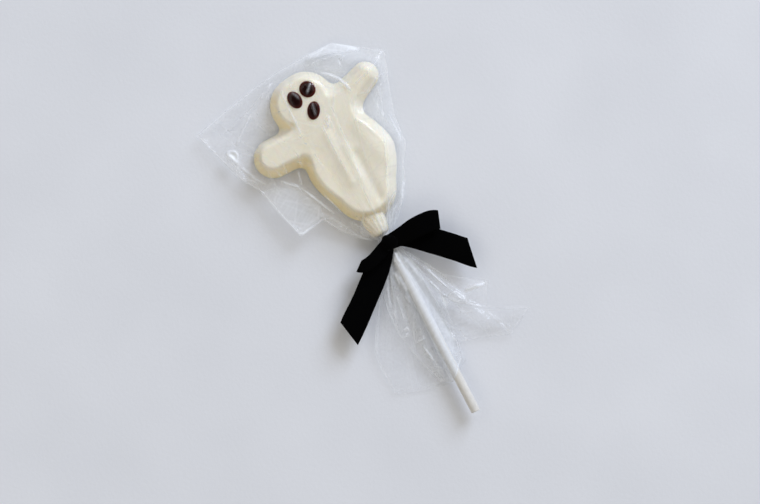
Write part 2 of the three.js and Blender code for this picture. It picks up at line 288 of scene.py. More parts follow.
# %% Stick paper
def stick_paper():
    """White paper rolled tightly into a rod: matt, with faint fibres along its length."""
    material, tree, output, place = empty_material("stick_paper")
    stretched = node(tree, "ShaderNodeMapping", Vector=place, Scale=(1, 0.2, 1)).outputs[0]
    fibre = noise(tree, stretched, 0.5, 3.0)
    surface = node(
        tree, "ShaderNodeBsdfPrincipled",
        Base_Color=colour_between(tree, fibre, "#d6d4cf", "#e0dfdb", 0.3, 0.7),
        Roughness=0.75, Normal=bump(tree, fibre, 0.03, 0.6),
    )
    tree.links.new(surface.outputs[0], output.inputs["Surface"])
    return material


# %% [markdown]
# Velvet
#
# The pile traps light, so it is nearly black, with a faint sheen where it is seen from the side.

# %% Velvet
def velvet():
    """Black nylon velvet: a dense pile that swallows light and shows a faint sheen at its edges."""
    material, tree, output, place = empty_material("velvet")
    pile = noise(tree, place, 0.28, 2.0)
    surface = node(
        tree, "ShaderNodeBsdfPrincipled",
        Base_Color=colour_between(tree, pile, "#010101", "#040405", 0.3, 0.7),
        Roughness=1.0, Normal=bump(tree, pile, 0.12, 0.7),
    )
    surface.inputs["Specular IOR Level"].default_value = 0.03
    surface.inputs["Sheen Weight"].default_value = 0.015
    surface.inputs["Sheen Roughness"].default_value = 0.35
    tree.links.new(surface.outputs[0], output.inputs["Surface"])
    return material


# %% [markdown]
# Clear film
#
# Film shows by its reflections and its white creases. A clear surface is mixed with white by an
# attribute that holds both the film's haze and painted highlights, and with a mirror that grows
# at grazing angles and is broken up by bumps.

# %% Clear film
def clear_film():
    """Cast polypropylene film, 30 microns thick: clear, glossy, whitened where it is creased, and with some
    highlights painted white.
    """
    material, tree, output, place = empty_material("clear_film")
    haze_and_painted_highlight = node(tree, "ShaderNodeAttribute", {"attribute_name": "haze_and_painted_highlight"}).outputs["Fac"]
    facet_edges = {"feature": "DISTANCE_TO_EDGE"}
    cells = node(tree, "ShaderNodeTexVoronoi", facet_edges, Vector=place, Scale=1 / (7.0 * MM))
    crinkle = cells.outputs["Distance"]
    ripple = noise(tree, place, 9.0, 2.0)
    normal = bump(tree, crinkle, 0.5, 0.12, bump(tree, ripple, 0.4, 0.25))
    clear = node(tree, "ShaderNodeBsdfTransparent", Color=(1, 1, 1, 1))
    front_light = node(tree, "ShaderNodeBsdfDiffuse", Color=linear("#f4f8fd"))
    back_light = node(tree, "ShaderNodeBsdfTranslucent", Color=linear("#f4f8fd"))
    through = 0.12  # share of the light that the white passes on
    whitened = node(
        tree, "ShaderNodeMixShader", i0=through, i1=front_light.outputs[0], i2=back_light.outputs[0]
    )
    gloss = node(tree, "ShaderNodeBsdfGlossy", Color=(1, 1, 1, 1), Roughness=0.09, Normal=normal)
    # the white takes in both the film's haze and painted highlights
    body = node(tree, "ShaderNodeMixShader", i0=haze_and_painted_highlight, i1=clear.outputs[0], i2=whitened.outputs[0])
    facing = node(tree, "ShaderNodeLayerWeight", Blend=0.5, Normal=normal).outputs["Facing"]
    grazing = node(tree, "ShaderNodeMath", {"operation": "POWER"}, i0=facing, i1=5.0).outputs[0]
    mirror = node(tree, "ShaderNodeMapRange", Value=grazing, To_Min=0.015, To_Max=0.45).outputs["Result"]
    surface = node(tree, "ShaderNodeMixShader", i0=mirror, i1=body.outputs[0], i2=gloss.outputs[0])
    tree.links.new(surface.outputs[0], output.inputs["Surface"])
    return material


# %% [markdown]
# Shapes that are drawn by distance
#
# The ghost's head, chest, hem and arms run together like modelling clay. Each is a bar with
# round ends, and a blend of the distances to the bars gives one soft outline. A fine grid is cut
# to it, and a height for every point makes the relief. The film is made in the same way.


# %% Distances and grids
def from_line(x, y, start, end):
    """Distance from a straight line, and the share of its length at the nearest point."""
    (ax, ay), (bx, by) = start, end
    square = (bx - ax) ** 2 + (by - ay) ** 2
    along = np.clip(((x - ax) * (bx - ax) + (y - ay) * (by - ay)) / square, 0, 1)
    return np.hypot(x - ax - along * (bx - ax), y - ay - along * (by - ay)), along


def round_bar(x, y, bar):
    """Distance outside a bar with round ends, in millimetres, negative inside."""
    (ax, ay, ar), (bx, by, br) = bar
    away, along = from_line(x, y, (ax, ay), (bx, by))
    return away - (ar + (br - ar) * along)


def polygon(x, y, corners):
    """Distance outside a polygon, negative inside, and the height of its nearest edge point."""
    nearest = np.full(np.shape(x), np.inf)
    height = np.zeros(np.shape(x))
    inside = np.zeros(np.shape(x), bool)
    for (ax, ay, az), (bx, by, bz) in zip(corners, corners[1:] + corners[:1]):
        far, along = from_line(x, y, (ax, ay), (bx, by))
        height = np.where(far < nearest, az + (bz - az) * along, height)
        nearest = np.minimum(nearest, far)
        if ay != by:
            crossing = ((ay > y) != (by > y)) & (x < ax + (y - ay) / (by - ay) * (bx - ax))
            inside ^= crossing
    return np.where(inside, -nearest, nearest), height


def blend(a, b, reach):
    """The lower of two values, rounded where they are less than reach apart."""
    near = np.maximum(reach - np.abs(a - b), 0) / reach
    return np.minimum(a, b) - near * near * reach / 4


def smooth_step(value, start, end):
    """0 at start, 1 at end, and a soft rise between."""
    share = np.clip((value - start) / (end - start), 0, 1)
    return share * share * (3 - 2 * share)


SNAP = 0.62  # share of a cell within which a grid point is slid onto the outline


def onto_outline(at, distance):
    """Slides points along the slope of distance until it is zero."""
    step = 0.01
    for _ in range(5):
        d = distance(at[:, 0], at[:, 1])
        gx = (distance(at[:, 0] + step, at[:, 1]) - distance(at[:, 0] - step, at[:, 1])) / (2 * step)
        gy = (distance(at[:, 0], at[:, 1] + step) - distance(at[:, 0], at[:, 1] - step)) / (2 * step)
        steep = np.maximum(gx * gx + gy * gy, 0.2)
        at = at - np.stack([d * gx / steep, d * gy / steep], 1)
    return at


def places(bm):
    """The points of a bmesh as an array."""
    return np.array([v.co[:] for v in bm.verts])


def move_points(bm, at):
    for vertex, co in zip(bm.verts, at):
        vertex.co = co


def grid_cut_to(distance, box, cell):
    """A flat grid of square cells, cut to an outline."""
    x0, y0, x1, y1 = box
    bm = bmesh.new()
    columns = math.ceil((x1 - x0) / cell)
    rows = math.ceil((y1 - y0) / cell)
    bmesh.ops.create_grid(bm, x_segments=columns, y_segments=rows, size=0.5)
    bmesh.ops.scale(bm, vec=(x1 - x0, y1 - y0, 1), verts=bm.verts)
    bmesh.ops.translate(bm, vec=((x0 + x1) / 2, (y0 + y1) / 2, 0), verts=bm.verts)
    at = places(bm)
    d = distance(at[:, 0], at[:, 1])
    outside = d > SNAP * cell
    near = np.abs(d) <= SNAP * cell
    at[near, :2] = onto_outline(at[near, :2], distance)
    move_points(bm, at)
    for face in list(bm.faces):
        out = [i for i, v in enumerate(face.verts) if outside[v.index]]
        if len(out) == 1:
            corners = list(face.verts)
            bmesh.utils.face_split(face, corners[(out[0] + 1) % 4], corners[(out[0] - 1) % 4])
    bm.verts.index_update()
    lost = [v for v, gone in zip(bm.verts, outside) if gone]
    bmesh.ops.delete(bm, geom=lost, context="VERTS")
    thin = [f for f in bm.faces if f.calc_area() < 0.02 * cell * cell]
    bmesh.ops.delete(bm, geom=thin, context="FACES")
    loose = [v for v in bm.verts if not v.link_faces]
    bmesh.ops.delete(bm, geom=loose, context="VERTS")
    return bm


def finished(name, bm, material, stands_for=None, attributes=None):
    """Turns a bmesh in millimetres into a piece of the part, in metres."""
    bmesh.ops.scale(bm, vec=(MM, MM, MM), verts=bm.verts)
    for face in bm.faces:
        face.smooth = True
    mesh = bpy.data.meshes.new(name)
    bm.to_mesh(mesh)
    bm.free()
    for key, values in (attributes or {}).items():
        layer = mesh.attributes.new(key, "FLOAT", "POINT")
        layer.data.foreach_set("value", np.asarray(values, np.float32))
    piece = bpy.data.objects.new(name, mesh)
    scene.collection.objects.link(piece)
    mesh.materials.append(material)
    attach(piece, "root")
    if stands_for:
        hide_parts(stands_for)
    print(name, len(mesh.vertices), "points")
    return piece


# %% [markdown]
# Chocolate ghost
#
# The mould gives the ghost a flat back, walls that lean in so that it comes out cleanly, a soft
# edge, and a face with the folds of a hanging sheet. The walls and the face are two heights,
# blended where they meet. Each fold is a ridge or a groove along a line.

# %% Ghost outline and height
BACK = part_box("ghost_body")[0].z / MM  # height of the flat back, on the film
FACE = 10.6  # thickness at the face
FOOT = 0.8  # height of the wall at the outline
WALL_SLOPE = 3.0  # rise of the wall for each millimetre inwards
EDGE_ROUND = 3.0
LIMB_BLEND = 5.0
GHOST_CELL = 0.5
HEAD = ((-6.8, 24.8, 12.4), (-3.4, 25.2, 12.4))
CHEST = ((0.4, 8, 15.6), (2.2, -7, 18.4))
HEM = ((2.2, -7, 18.4), (1.5, -20.3, 13.4))
LEFT_ARM = ((-10.8, 9.6, 8.4), (-27.0, 9.6, 8.4))
RIGHT_ARM = ((8.0, 16.5, 7.4), (24.0, 23.2, 5.9))
LIMBS = (HEAD, CHEST, HEM, LEFT_ARM, RIGHT_ARM)
FOLDS = (  # start, end, height, half width
    ((-1.8, 7.5), (-1.6, -15), 0.7, 2.2),
    ((2.4, 0), (2.2, -15), 0.6, 1.8),
    ((5.2, -6), (5.4, -26), -0.9, 2.2),
    ((11.2, 6), (14.5, -11), 0.7, 3.6),
    ((-8.6, 3), (-7.2, -18), -0.3, 2.6),
)


def ghost_distance(x, y):
    """Distance outside the ghost's outline, negative inside."""
    distances = [round_bar(x, y, limb) for limb in LIMBS]
    return reduce(lambda a, b: blend(a, b, LIMB_BLEND), distances)


def fold_height(x, y, fold):
    """Height of a ridge, or of a groove if it is negative, that fades out on both sides."""
    start, end, height, width = fold
    away = round_bar(x, y, ((*start, 0), (*end, 0))) / width
    return height * np.exp(-away * away)


def ghost_top(x, y):
    """Height of the chocolate's top above the table."""
    face = FACE + sum(fold_height(x, y, fold) for fold in FOLDS)
    wall = FOOT - WALL_SLOPE * ghost_distance(x, y)
    return BACK + np.maximum(blend(wall, face, EDGE_ROUND), 0)


def shade_side(x, y):
    """1 where the wall faces away from the window, 0 where it faces it."""
    slope_x = (ghost_distance(x + 0.2, y) - ghost_distance(x - 0.2, y)) / 0.4
    slope_y = (ghost_distance(x, y + 0.2) - ghost_distance(x, y - 0.2)) / 0.4
    towards = WINDOW_DIRECTION[0] * slope_x + WINDOW_DIRECTION[1] * slope_y
    return smooth_step(-towards, -0.1, 0.6)


# %% Ghost body
WHITE = white_chocolate()
ghost_bm = grid_cut_to(ghost_distance, (-38, -37, 34, 41), GHOST_CELL)
at = places(ghost_bm)
at[:, 2] = ghost_top(at[:, 0], at[:, 1])
move_points(ghost_bm, at)
rim = [e for e in ghost_bm.edges if e.is_boundary]
skirt = bmesh.ops.extrude_edge_only(ghost_bm, edges=rim)
for element in skirt["geom"]:
    if isinstance(element, bmesh.types.BMVert):
        element.co.z = BACK
base = [e for e in skirt["geom"] if isinstance(e, bmesh.types.BMEdge) and e.is_boundary]
bmesh.ops.holes_fill(ghost_bm, edges=base, sides=0)
bmesh.ops.recalc_face_normals(ghost_bm, faces=ghost_bm.faces)
at = places(ghost_bm)
# painted shade: walls that face away from the window are painted warm yellow, more so further down from the
# face's edge
facing_shade = shade_side(at[:, 0], at[:, 1])
depth = BACK + FACE - at[:, 2]
shaded_wall = facing_shade * smooth_step(depth, -0.3, 3.0)
painted_wall_shade = {"shaded_wall": shaded_wall}
finished("chocolate_ghost", ghost_bm, WHITE, "ghost_body", painted_wall_shade)

# %% [markdown]
# Collar
#
# Under the hem the mould narrows to a collar that grips the stick: a turned shape, cut off
# level with the ghost's flat back.

# %% Collar round the stick
STICK_TOP = (0.0, -11.7, 3.9)
STICK_LENGTH = 114.0
STICK_RISE = 1.7  # how much higher the lower end lies than the upper one
STICK_RADIUS = 2.0
STICK_TURN = Matrix.Rotation(-math.atan2(STICK_RISE, STICK_LENGTH), 3, "X")
COLLAR = (  # radius, y
    (4.6, -28), (4.75, -31), (4.8, -33.4), (4.6, -35.8),
    (4.2, -38), (3.9, -39.2), (3.4, -40.3), (2.3, -40.6),
)
COLLAR_WIDEN = 1.04
COLLAR_SHIFT = -1.0
COLLAR_MIDDLE = 4.3  # height of its axis


def spun(points, axis, steps, merge):
    """A turned shape: a line through points, spun about an axis through the origin."""
    bm = bmesh.new()
    corners = [bm.verts.new(point) for point in points]
    edges = [bm.edges.new(pair) for pair in zip(corners, corners[1:])]
    bmesh.ops.spin(
        bm, geom=corners + edges, axis=axis, cent=(0, 0, 0),
        steps=steps, angle=2 * math.pi, use_merge=True,
    )
    bmesh.ops.remove_doubles(bm, verts=bm.verts, dist=merge)
    bmesh.ops.recalc_face_normals(bm, faces=bm.faces)
    return bm


def lathe(profile, sides, middle_y):
    """A turned shape about the Y axis from [radius, y] points, with y measured from middle_y."""
    return spun([(radius, y - middle_y, 0) for radius, y in profile], (0, 1, 0), sides, 1e-4)


def lay_along_stick(bm):
    """Turns and moves a shape about the Y axis onto the axis of the stick."""
    bmesh.ops.rotate(bm, cent=(0, 0, 0), matrix=STICK_TURN, verts=bm.verts)
    bmesh.ops.translate(bm, vec=STICK_TOP, verts=bm.verts)


collar_bm = lathe(COLLAR, 48, STICK_TOP[1])
bmesh.ops.scale(collar_bm, vec=(COLLAR_WIDEN, 1, 1), verts=collar_bm.verts)
bmesh.ops.translate(collar_bm, vec=(COLLAR_SHIFT, 0, 0), verts=collar_bm.verts)
lay_along_stick(collar_bm)
cut = collar_bm.verts[:] + collar_bm.edges[:] + collar_bm.faces[:]
bmesh.ops.bisect_plane(
    collar_bm, geom=cut, plane_co=(0, 0, BACK), plane_no=(0, 0, -1), clear_outer=True
)
# painted shade: the whole collar gets a little of the warm painted wall shade, more on its left side, away
# from the window
collar_shade = 0.2 + 0.12 * np.maximum(COLLAR_SHIFT - places(collar_bm)[:, 0], 0)
painted_wall_shade = {"shaded_wall": collar_shade}
finished("chocolate_collar", collar_bm, WHITE, "ghost_body", painted_wall_shade)

# %% [markdown]
# Eyes and mouth
#
# Each is a drop of melted dark chocolate in an oval hollow of the mould: a low dome, steep at
# its rim and nearly flat on top. A turned profile gives the dome, and stretching it makes the
# oval.

# %% Eyes and mouth
DARK = dark_chocolate()
DOME = 1.5
DOME_SINK = 0.3  # how far the rim goes into the face
DOME_LIFT = 0.1
OVALS = {  # centre, half width, half height, lean in degrees
    "eye_left": ((-7.4, 26.7), (2.85, 3.95), 9),
    "eye_right": ((-0.6, 28.3), (3.35, 3.6), 20),
    "mouth": ((-2.4, 19.1), (2.7, 3.95), -32),
}
DOME_PROFILE = [(math.cos(t) ** 0.8, math.sin(t) ** 0.9) for t in np.linspace(0, math.pi / 2, 14)]


def dome(name, centre, half, lean):
    """One drop: a spun profile, stretched to an oval and turned."""
    profile = [(max(radius, 0), 0, height * DOME - DOME_SINK) for radius, height in DOME_PROFILE]
    bm = spun(profile, (0, 0, 1), 56, 1e-3)
    rim = [math.hypot(v.co.x, v.co.y) ** 6 for v in bm.verts]
    bmesh.ops.scale(bm, vec=(half[0], half[1], 1), verts=bm.verts)
    turn = Matrix.Rotation(math.radians(lean), 3, "Z")
    bmesh.ops.rotate(bm, cent=(0, 0, 0), matrix=turn, verts=bm.verts)
    bmesh.ops.translate(bm, vec=(*centre, BACK + FACE + DOME_LIFT), verts=bm.verts)
    finished("chocolate_" + name, bm, DARK, name, {"rim": rim})


for name, (centre, half, lean) in OVALS.items():
    dome(name, centre, half, lean)

# %% [markdown]
# Stick
#
# The rod is cut off square, and its end is a little hollow with a soft edge. It is turned too.

# %% Stick
PAPER = stick_paper()
STICK_PROFILE = (  # radius, y
    (0.25, -125.2), (1.2, -125.45), (1.78, -125.7), (1.94, -125.6), (2.0, -125.4),
    (2.0, -90), (2.0, -50), (2.0, -12.2), (1.7, -11.75), (0.3, -11.7),
)
stick_bm = lathe(STICK_PROFILE, 40, STICK_TOP[1])
ends = [e for e in stick_bm.edges if e.is_boundary]
bmesh.ops.holes_fill(stick_bm, edges=ends, sides=0)
lay_along_stick(stick_bm)
finished("paper_stick", stick_bm, PAPER, "stick")

# %% [markdown]
# Velvet ribbon
#
# A ribbon is a strip with a straight cross direction at every point of its path. Each strip is
# a grid laid along a smooth path, and a solidify modifier gives it the thickness of its pile.

# %% Ribbon strips
VELVET = velvet()
RIBBON_WIDTH = 10.4
RIBBON_THICK = 0.9
RIBBON_CUP = 0.35  # how far the edges curl down
TIE_Y = -45.0
BOW = {  # x, y, z, direction of the width in degrees, share of the full width
    "loop_right": (
        (0, -45, 8.6, 92, 0.6), (7, -45, 9.8, 94, 0.74), (13, -44.5, 11.2, 92, 0.82),
        (20, -44.8, 11.0, 84, 0.82), (23.2, -46, 9.4, 70, 0.76), (20, -45.2, 7.8, 84, 0.8),
        (13, -44.9, 7.4, 92, 0.78), (7, -45, 7.6, 94, 0.7), (0, -45, 8.0, 92, 0.6),
    ),
    "loop_left": (
        (0, -45, 8.6, 88, 0.6), (-6, -47.2, 9.8, 78, 0.6), (-11.6, -48.9, 10.4, 64, 0.6),
        (-15.4, -48.3, 9.2, 38, 0.5), (-11.6, -49.2, 8.0, 64, 0.6), (-6, -47.6, 7.6, 78, 0.6),
        (0, -45, 7.8, 88, 0.6),
    ),
    "tail_right": (
        (1, -44.8, 8.8, 66, 0.6), (6.4, -44.8, 6.4, 48, 0.88), (11.2, -47.6, 6.0, 45, 1),
        (17.2, -53, 6.4, 45, 1.05), (22.4, -58, 7.1, 46, 1.05), (26.6, -62.3, 7.5, 52, 1.06),
        (29.5, -65.4, 7.6, 81, 1.24),
    ),
    "tail_left": (
        (-1, -46, 8.8, 120, 0.6), (-6.4, -50.2, 6.6, 128, 0.92), (-13, -56, 6.8, 128, 1),
        (-22, -63.4, 7.6, 128, 1), (-32.6, -71.6, 7.8, 100, 1.16),
    ),
}


def smooth_path(points, count):
    """A smooth curve through points, as a Catmull-Rom spline."""
    points = np.array(points, float)
    padded = np.vstack([2 * points[0] - points[1], points, 2 * points[-1] - points[-2]])
    made = []
    for value in np.linspace(0, len(points) - 1 - 1e-9, count):
        i = int(value)
        t = value - i
        a, b, c, d = padded[i:i + 4]
        bend = 2 * a - 5 * b + 4 * c - d
        twist = 3 * b - a - 3 * c + d
        made.append(0.5 * (2 * b + (c - a) * t + bend * t * t + twist * t ** 3))
    return np.array(made)


def add_pile(piece):
    """Gives a strip of ribbon its thickness."""
    solid = piece.modifiers.new("pile", "SOLIDIFY")
    solid.thickness = RIBBON_THICK * MM
    solid.offset = 0


def ribbon_strip(name, path, steps=70, across_steps=10):
    """A strip of ribbon along a path, with its edges curled down a little."""
    line = smooth_path(path, steps + 1)
    bm = bmesh.new()
    bmesh.ops.create_grid(bm, x_segments=steps, y_segments=across_steps, size=0.5)
    at = places(bm)
    along = np.rint((at[:, 0] + 0.5) * steps).astype(int)
    side = at[:, 1]
    turn = np.radians(line[along, 3])
    width = RIBBON_WIDTH * line[along, 4]
    across = np.stack([np.cos(turn), np.sin(turn), np.zeros(len(turn))], 1)
    cup = -RIBBON_CUP * (2 * side) ** 2
    curl = np.stack([0 * cup, 0 * cup, cup], 1)
    at = line[along, :3] + across * (side * width)[:, None] + curl
    move_points(bm, at)
    add_pile(finished("velvet_" + name, bm, VELVET, "ribbon_bow"))


for name, path in BOW.items():
    ribbon_strip(name, path)

# %% [markdown]
# Knot and band
#
# The loops and tails come out of a knot, a ball squeezed flat. A band of ribbon, a short oval
# tube, holds the gathered film against the stick.

# %% Knot and neck band
KNOT_HALF = (3.7, 3.4, 2.8)
KNOT_CENTRE = (0.4, TIE_Y, 9.0)
BAND_MIDDLE = 4.5
BAND_RINGS = (  # half width, half height, y
    (4.2, 3.7, -43.7), (4.35, 3.85, -44.4), (4.35, 3.85, -47.2), (4.2, 3.7, -47.9),
)


def knot():
    wide, long, high = KNOT_HALF
    bm = bmesh.new()
    bmesh.ops.create_uvsphere(bm, u_segments=48, v_segments=28, radius=1.0)
    for vertex in bm.verts:
        turn = math.atan2(vertex.co.y, vertex.co.x)
        crease = 1 + 0.05 * math.cos(3 * turn + 0.6) + 0.03 * math.cos(7 * turn)
        x, y, z = vertex.co
        vertex.co = (x * crease * wide, y * crease * long, z * high)
    bmesh.ops.translate(bm, vec=KNOT_CENTRE, verts=bm.verts)
    finished("velvet_knot", bm, VELVET, "ribbon_bow")


def neck_band():
    bm = bmesh.new()
    upright = Matrix.Rotation(math.pi / 2, 3, "X")
    for wide, high, y in BAND_RINGS:
        ring = bmesh.ops.create_circle(bm, segments=48, radius=1.0)["verts"]
        bmesh.ops.scale(bm, vec=(wide, high, 1), verts=ring)
        bmesh.ops.rotate(bm, cent=(0, 0, 0), matrix=upright, verts=ring)
        bmesh.ops.translate(bm, vec=(0, y, BAND_MIDDLE), verts=ring)
    bmesh.ops.bridge_loops(bm, edges=bm.edges[:])
    bmesh.ops.recalc_face_normals(bm, faces=bm.faces)
    add_pile(finished("velvet_band", bm, VELVET, "ribbon_bow"))


knot()
neck_band()

# %% [markdown]
# Film of the bag
#
# The bag is a flat tube of thin clear film, pulled straight from the chocolate's edge to its own
# corners. So its height is relaxed on a grid, like a stretched skin that may not sink into the
# chocolate. Sharp creases come on top, and an attribute keeps where the film is white, from its
# haze and from painted highlights.

# %% Bag outline, with the height of the film's edge
POUCH = [
    (-51.5, 33.0, 4.5), (-37, 36.8, 2.5), (-22, 39.7, 2.2), (-10, 41.5, 2.0), (5, 42.2, 2.0),
    (17.5, 42.0, 3.0), (23.5, 37.5, 4.5), (36.2, 28.6, 5.0), (31.5, 15, 3.0), (27.4, 2, 2.5),
    (26.2, -11, 2.5), (21.6, -17, 2.5), (19.0, -24, 2.5), (15.2, -30, 2.5), (9.0, -36.5, 3.5),
    (5.4, -40.2, 4.3), (3.3, -41.8, 4.5), (3.1, -48, 4.5), (-3.1, -48, 4.5), (-3.3, -41.8, 4.5),
    (-7.2, -40.2, 4.3), (-11, -36.5, 3.5), (-16, -31, 4.0), (-20, -23.5, 6.0),
    (-31.6, -25.6, 7.5), (-35.6, -12, 7.0), (-38.4, 0, 6.0), (-43.5, 8, 6.0),
]
POUCH_BOX = (-54, -50, 40, 46)


def pouch_distance(x, y):
    return polygon(x, y, POUCH)[0]


# %% Relaxed skin
SKIN_CELL = 0.8
SKIN_X = np.arange(-54, 40, SKIN_CELL)
SKIN_Y = np.arange(-50, 46, SKIN_CELL)
SKIN_ROUNDS = 2500  # enough for the whole skin to settle
TAUT_FROM = 12.2  # height over the face that the film is pulled straight from
TABLE_GAP = 0.3  # height of the back film under the ghost


def stick_top(x, y):
    """Height of the top of the stick, and below the table where there is no stick."""
    middle = STICK_TOP[2] + STICK_RISE * (STICK_TOP[1] - y) / STICK_LENGTH
    on = (np.abs(x) < STICK_RADIUS) & (y < STICK_TOP[1]) & (y > STICK_TOP[1] - STICK_LENGTH)
    return np.where(on, middle + np.sqrt(np.maximum(STICK_RADIUS ** 2 - x * x, 0)), -1)


def contents_top(x, y):
    """Height of what lies in the bag."""
    top = np.where(ghost_distance(x, y) < 0, ghost_top(x, y), -1)
    for centre, half, lean in OVALS.values():
        turn = math.radians(lean)
        across = ((x - centre[0]) * math.cos(turn) + (y - centre[1]) * math.sin(turn)) / half[0]
        upward = (-(x - centre[0]) * math.sin(turn) + (y - centre[1]) * math.cos(turn)) / half[1]
        rise = 1 - across ** 2 - upward ** 2
        over = BACK + FACE + DOME_LIFT + DOME * np.sqrt(np.maximum(rise, 0))
        top = np.where(rise > 0, over, top)
    radius = np.interp(-y, [-p[1] for p in COLLAR], [p[0] for p in COLLAR], left=0, right=0)
    across = (x - COLLAR_SHIFT) / COLLAR_WIDEN
    collar = COLLAR_MIDDLE + np.sqrt(np.maximum(radius ** 2 - across ** 2, 0))
    top = np.where(np.abs(across) < radius, np.maximum(top, collar), top)
    return np.maximum(top, stick_top(x, y))


def relaxed(height, held, lowest, rounds):
    """Averages each free point with its neighbours, and keeps it at or above lowest."""
    for _ in range(rounds):
        down, up = np.roll(height, 1, 0), np.roll(height, -1, 0)
        left, right = np.roll(height, 1, 1), np.roll(height, -1, 1)
        around = (down + up + left + right) / 4
        height = np.where(held, height, np.maximum(around, lowest))
    return height


def sampled(skin, x, y):
    """Value of a grid of heights at any point, by bilinear interpolation."""
    column = np.clip((x - SKIN_X[0]) / SKIN_CELL, 0, len(SKIN_X) - 1.001)
    row = np.clip((y - SKIN_Y[0]) / SKIN_CELL, 0, len(SKIN_Y) - 1.001)
    i, j = row.astype(int), column.astype(int)
    s, t = row - i, column - j
    low = skin[i, j] * (1 - t) + skin[i, j + 1] * t
    high = skin[i + 1, j] * (1 - t) + skin[i + 1, j + 1] * t
    return low * (1 - s) + high * s


grid_x, grid_y = np.meshgrid(SKIN_X, SKIN_Y)
outside, edge_height = polygon(grid_x, grid_y, POUCH)
held = outside > -0.3
inside = np.maximum(-outside, 0)
# at the upper right the film is pulled straight from the edge of the face to the edge of the bag
from_face = np.maximum(ghost_distance(grid_x, grid_y) + 3, 0)
taut = edge_height + (TAUT_FROM - edge_height) * inside / (inside + from_face + 1e-6)
taut *= smooth_step(grid_x, 2, 8) * smooth_step(grid_y, 2, 8)
lowest = np.maximum(contents_top(grid_x, grid_y) + 0.25, taut)
FRONT_SKIN = relaxed(np.where(held, edge_height, 12.0), held, lowest, SKIN_ROUNDS)
# the back lies on the table under the ghost, and hangs close below the front where the bag is empty
from_ghost = np.maximum(ghost_distance(grid_x, grid_y) - 1.5, 0)
close_below = FRONT_SKIN - 0.4 - 0.35 * np.maximum(-outside, 0)
hanging = np.minimum(close_below, TABLE_GAP + 1.4 * from_ghost)
BACK_SKIN = np.where(held, edge_height, np.maximum(hanging, TABLE_GAP))
BACK_SKIN = relaxed(BACK_SKIN, held | (from_ghost == 0), np.full(grid_x.shape, 0.2), 12)
print("film is", round(float(FRONT_SKIN[~held].max()), 1), "mm high over the eyes")

# %% [markdown]
# Creases
#
# Film keeps a white line where it was folded, and some lines are painted highlights where a
# crease would catch the window. Each line has the height of its ridge, half its width and its
# whiteness. Patches are whiter areas, where the film lies doubled or where a highlight is painted.

